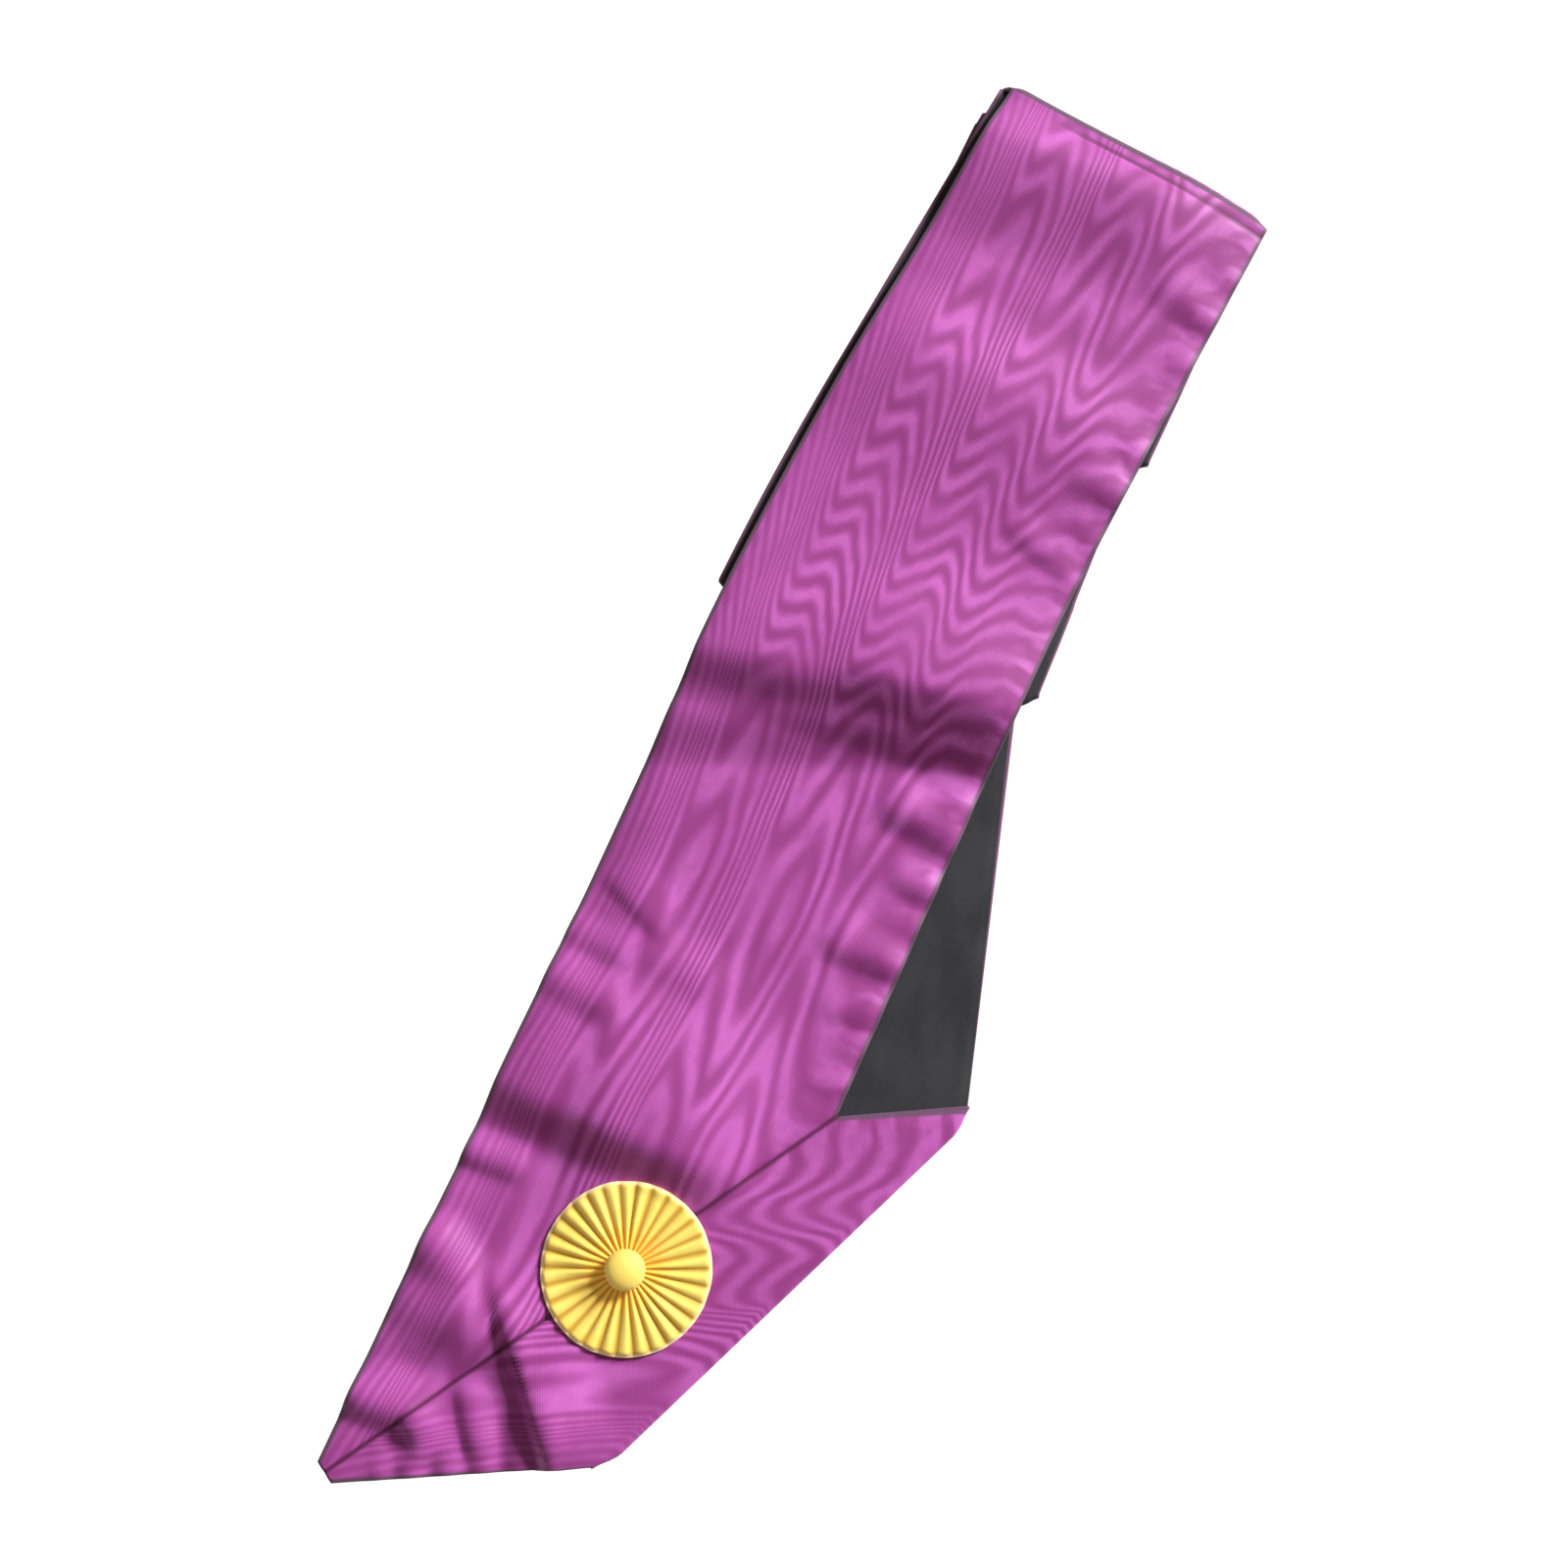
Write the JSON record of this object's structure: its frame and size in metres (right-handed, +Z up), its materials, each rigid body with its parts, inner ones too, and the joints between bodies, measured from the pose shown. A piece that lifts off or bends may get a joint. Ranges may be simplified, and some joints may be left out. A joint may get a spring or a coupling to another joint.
{
  "type": "masonic collar",
  "caption": "Wide watered-ribbon regalia collar with dark lining, mitred to a V under a pleated rosette, laid face up and folded flat.",
  "frame": {"origin": "under the middle of the folded collar, on the surface it lies on", "axes": "+Y along the left strap from the point of the V towards the neck fold, +X to the side the right strap turns to, +Z up out of the ribbon's face"},
  "size_m": [0.1414, 0.4972, 0.0164],
  "materials": {
    "moire_ribbon": "ribbed silk with a watered pattern, soft sheen",
    "lining": "plain matt cotton",
    "rosette_cloth": "ribbed satin"
  },
  "bodies": {
    "root": {"strap_left_face": "moire_ribbon", "strap_right_face": "moire_ribbon", "strap_left_lining": "lining", "strap_right_lining": "lining", "rosette_ribbon": "rosette_cloth", "rosette_button": "rosette_cloth"}
  },
  "joints": []
}
